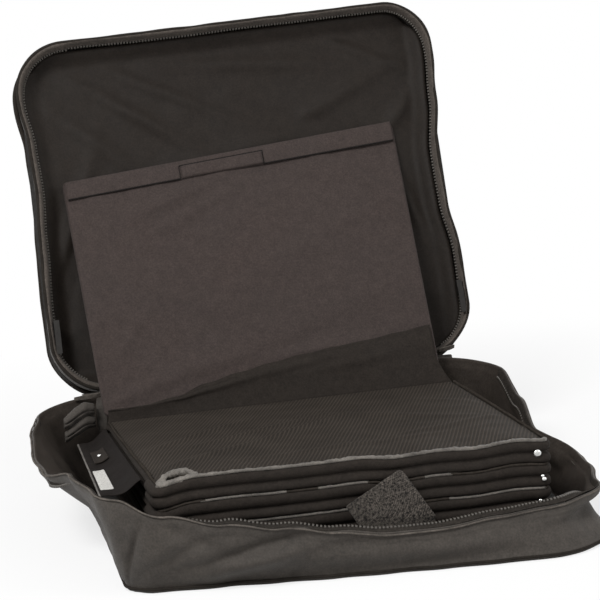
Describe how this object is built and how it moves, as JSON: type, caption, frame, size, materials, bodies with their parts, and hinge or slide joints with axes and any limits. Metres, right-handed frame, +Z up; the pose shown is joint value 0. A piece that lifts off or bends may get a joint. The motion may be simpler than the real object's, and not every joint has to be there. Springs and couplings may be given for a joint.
{
  "type": "folding brochure rack",
  "caption": "Portable fabric brochure rack folded flat as a zigzag stack of mesh pocket boards, with a header panel, in its open zip carry bag.",
  "frame": {"origin": "centre of the bag floor's underside", "axes": "+Z up, +X across the bag to its right, -Y to the bag's front, away from the lid's hinge"},
  "size_m": [0.4432, 0.5, 0.4055],
  "materials": {
    "nylon": "matt woven nylon",
    "lining": "matt coated lining",
    "header": "matt woven cover",
    "mesh": "fine mesh",
    "binding": "satin binding",
    "piping": "bound piping",
    "tape": "woven zip tape",
    "teeth": "satin coil and sliders",
    "card": "plain stiffener board",
    "loops": "hook and loop pile",
    "label": "blank woven label",
    "steel": "bright rivet heads"
  },
  "bodies": {
    "bag_base": {"bag_floor": "nylon", "floor_board": "card", "floor_piping": "piping", "wall_front": "nylon", "wall_left": "nylon", "wall_right": "nylon", "wall_back": "nylon", "base_zip_tape": "tape", "base_zip_teeth": "teeth", "strap_root": "loops", "bag_hinge_fabric": "nylon"},
    "strap": {"strap_tab": "loops"},
    "lid": {"lid_panel": "nylon", "lid_board": "card", "lid_lining": "lining", "lid_gusset": "nylon", "lid_piping": "piping", "lid_zip_tape": "tape", "lid_zip_teeth": "teeth"},
    "slider_left": {"zip_slider_left": "teeth"},
    "pull_left": {"zip_pull_left": "teeth"},
    "slider_right": {"zip_slider_right": "teeth"},
    "pull_right": {"zip_pull_right": "teeth"},
    "rack_1": {"rack_board_1": "nylon", "front_wrap_1": "mesh", "rivet_1": "steel"},
    "rack_2": {"rack_board_2": "nylon", "mesh_pocket_2": "mesh", "pocket_binding_2": "binding", "back_strip_1": "mesh"},
    "rack_3": {"rack_board_3": "nylon", "front_wrap_2": "mesh", "rivet_2": "steel"},
    "rack_4": {"rack_board_4": "nylon", "mesh_pocket_4": "mesh", "pocket_binding_4": "binding", "back_strip_2": "mesh"},
    "rack_5": {"rack_board_5": "nylon", "front_wrap_3": "mesh", "rivet_3": "steel"},
    "rack_6": {"rack_board_6": "nylon", "mesh_pocket_6": "mesh", "pocket_binding_6": "binding", "back_strip_3": "mesh"},
    "rack_7": {"rack_board_7": "nylon", "front_wrap_4": "mesh"},
    "rack_8": {"rack_board_8": "nylon", "mesh_pocket_8": "mesh", "pocket_binding_8": "binding", "rivet_4": "steel", "header_fold": "header", "side_flap": "nylon", "blank_label": "label", "snap_patch": "loops", "snap_stud": "steel"},
    "header": {"header_panel": "header", "header_hem": "header", "header_tab": "header"}
  },
  "joints": [
    {"name": "lid_hinge", "type": "hinge", "parent": "bag_base", "child": "lid", "pos_m": [0, 0.17, 0.088], "axis": [-1, 0, 0], "range_deg": [-110, 0], "deforming": ["bag_hinge_fabric"]},
    {"name": "rack_lift", "type": "slide", "parent": "bag_base", "child": "rack_1", "axis": [0, 0, 1], "range_m": [0, 0.1]},
    {"name": "unfold_1", "type": "hinge", "parent": "rack_1", "child": "rack_2", "pos_m": [0, -0.144, 0.01395], "axis": [1, 0, 0], "range_deg": [0, 25], "deforming": ["front_wrap_1"]},
    {"name": "unfold_2", "type": "hinge", "parent": "rack_2", "child": "rack_3", "pos_m": [0, 0.128, 0.0213], "axis": [1, 0, 0], "range_deg": [-50, 0], "deforming": ["back_strip_1"]},
    {"name": "unfold_3", "type": "hinge", "parent": "rack_3", "child": "rack_4", "pos_m": [0, -0.144, 0.03255], "axis": [1, 0, 0], "range_deg": [0, 50], "deforming": ["front_wrap_2"]},
    {"name": "unfold_4", "type": "hinge", "parent": "rack_4", "child": "rack_5", "pos_m": [0, 0.128, 0.0373], "axis": [1, 0, 0], "range_deg": [-50, 0], "deforming": ["back_strip_2"]},
    {"name": "unfold_5", "type": "hinge", "parent": "rack_5", "child": "rack_6", "pos_m": [0, -0.144, 0.05115], "axis": [1, 0, 0], "range_deg": [0, 50], "deforming": ["front_wrap_3"]},
    {"name": "unfold_6", "type": "hinge", "parent": "rack_6", "child": "rack_7", "pos_m": [0, 0.128, 0.0533], "axis": [1, 0, 0], "range_deg": [-50, 0], "deforming": ["back_strip_3"]},
    {"name": "unfold_7", "type": "hinge", "parent": "rack_7", "child": "rack_8", "pos_m": [0, -0.144, 0.06975], "axis": [1, 0, 0], "range_deg": [0, 50], "deforming": ["front_wrap_4"]},
    {"name": "header_hinge", "type": "hinge", "parent": "rack_8", "child": "header", "pos_m": [0, 0.1312, 0.0725], "axis": [-1, 0, 0], "range_deg": [-116.38, 0], "deforming": ["header_fold"]},
    {"name": "strap_hinge", "type": "hinge", "parent": "bag_base", "child": "strap", "pos_m": [0, -0.161, 0.04], "axis": [1, 0, 0], "range_deg": [0, 95]},
    {"name": "zip_slide_left", "type": "slide", "parent": "lid", "child": "slider_left", "axis": [0, 0.342, 0.9397], "range_m": [0, 0.2]},
    {"name": "zip_pull_hinge_left", "type": "hinge", "parent": "slider_left", "child": "pull_left", "pos_m": [-0.1878, 0.1882, 0.14736], "axis": [-1, 0, 0], "range_deg": [0, 100]},
    {"name": "zip_slide_right", "type": "slide", "parent": "lid", "child": "slider_right", "axis": [0, 0.342, 0.9397], "range_m": [0, 0.2]},
    {"name": "zip_pull_hinge_right", "type": "hinge", "parent": "slider_right", "child": "pull_right", "pos_m": [0.1878, 0.1882, 0.14736], "axis": [-1, 0, 0], "range_deg": [0, 100]}
  ],
  "couplings": [
    {"joint": "unfold_2", "follows": "unfold_1", "ratio": -2},
    {"joint": "unfold_3", "follows": "unfold_1", "ratio": 2},
    {"joint": "unfold_4", "follows": "unfold_1", "ratio": -2},
    {"joint": "unfold_5", "follows": "unfold_1", "ratio": 2},
    {"joint": "unfold_6", "follows": "unfold_1", "ratio": -2},
    {"joint": "unfold_7", "follows": "unfold_1", "ratio": 2},
    {"joint": "header_hinge", "follows": "lid_hinge", "ratio": 1.0562}
  ]
}
